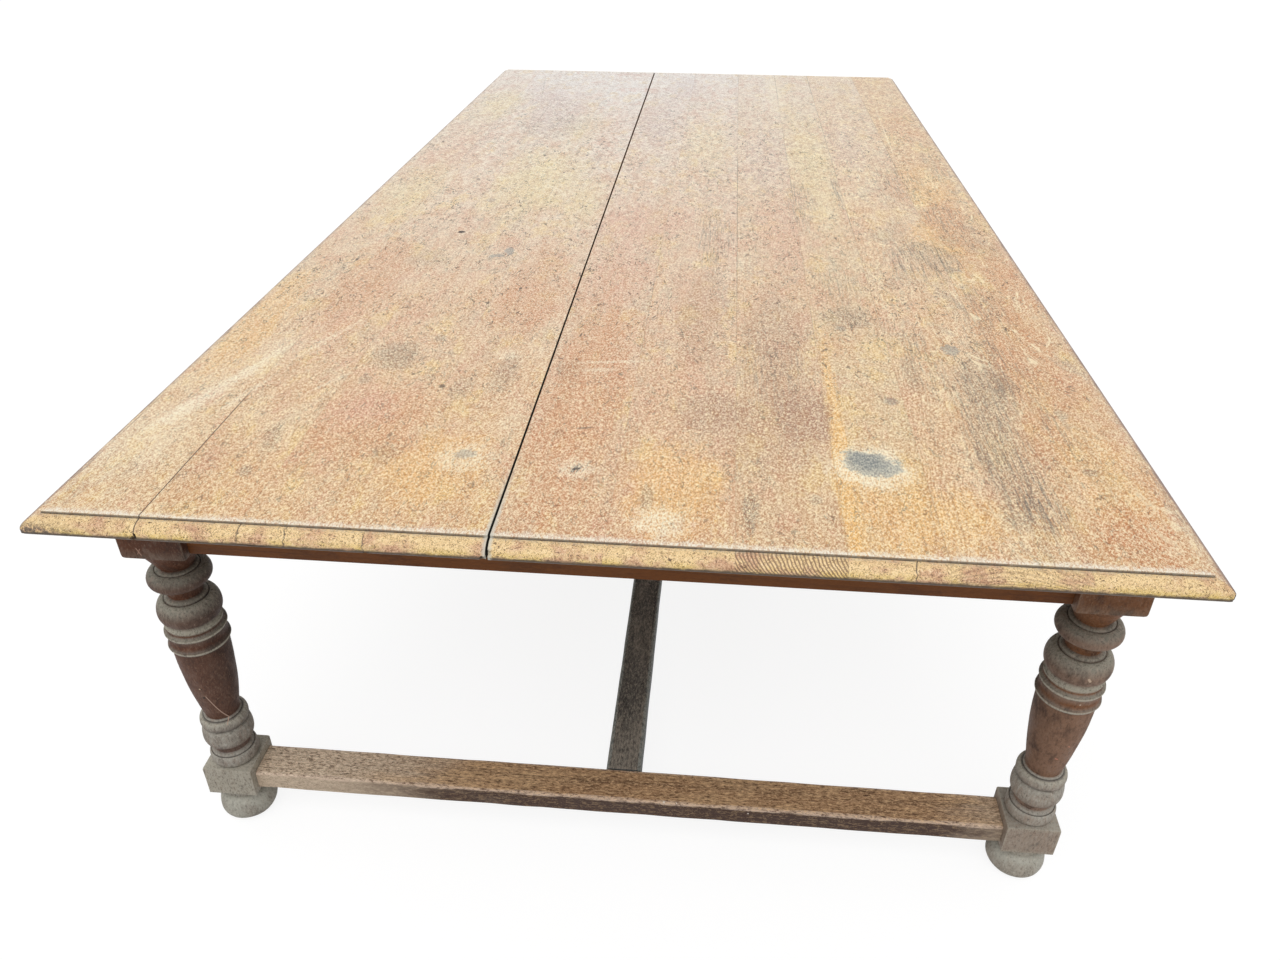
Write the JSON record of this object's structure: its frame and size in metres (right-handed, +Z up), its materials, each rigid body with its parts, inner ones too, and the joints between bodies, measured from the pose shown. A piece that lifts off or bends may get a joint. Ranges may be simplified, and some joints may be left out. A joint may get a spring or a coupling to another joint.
{
  "type": "dining table",
  "caption": "Long plank-top table on turned legs with bun feet, moulded top edge, and flat end stretchers joined by one centre stretcher.",
  "frame": {"origin": "on the floor, under the middle of the top", "axes": "+Z up, +Y along the table from the near end to the far end, +X across the table to the right as seen from the near end"},
  "size_m": [1.493, 3.058, 0.78],
  "materials": {
    "top": "worn dry wax over old light brown wood, with dark pores and stains",
    "tongue": "bare sawn wood",
    "leg": "old dark red brown stain, worn and grey on the rings",
    "foot": "worn grey brown with dark pits",
    "rail": "old red brown stain",
    "end_stretcher": "worn golden brown with a pale front edge",
    "centre_stretcher": "worn dark grey brown with pale edges",
    "inner_wood": "plain brown wood",
    "screw": "dull aged steel"
  },
  "bodies": {
    "root": {"top_board_1": "top", "top_board_2": "top", "top_board_3": "top", "top_board_4": "top", "top_board_5": "top", "top_board_6": "top", "top_board_7": "top", "top_board_8": "top", "top_board_9": "top", "top_board_10": "top", "loose_tongue_1": "tongue", "loose_tongue_2": "tongue", "loose_tongue_3": "tongue", "loose_tongue_4": "tongue", "loose_tongue_5": "tongue", "loose_tongue_6": "tongue", "loose_tongue_7": "tongue", "loose_tongue_8": "tongue", "loose_tongue_9": "tongue", "leg_near_left": "leg", "leg_near_right": "leg", "leg_far_left": "leg", "leg_far_right": "leg", "foot_near_left": "foot", "foot_near_right": "foot", "foot_far_left": "foot", "foot_far_right": "foot", "end_rail_near": "rail", "end_rail_far": "rail", "side_rail_left": "rail", "side_rail_right": "rail", "cross_bearer_1": "inner_wood", "cross_bearer_2": "inner_wood", "cross_bearer_3": "inner_wood", "cross_bearer_4": "inner_wood", "end_stretcher_near": "end_stretcher", "end_stretcher_far": "end_stretcher", "centre_stretcher": "centre_stretcher", "button_near_1": "inner_wood", "screw_near_1": "screw", "button_near_2": "inner_wood", "screw_near_2": "screw", "button_far_1": "inner_wood", "screw_far_1": "screw", "button_far_2": "inner_wood", "screw_far_2": "screw", "button_left_1": "inner_wood", "screw_left_1": "screw", "button_left_2": "inner_wood", "screw_left_2": "screw", "button_left_3": "inner_wood", "screw_left_3": "screw", "button_right_1": "inner_wood", "screw_right_1": "screw", "button_right_2": "inner_wood", "screw_right_2": "screw", "button_right_3": "inner_wood", "screw_right_3": "screw"}
  },
  "joints": []
}
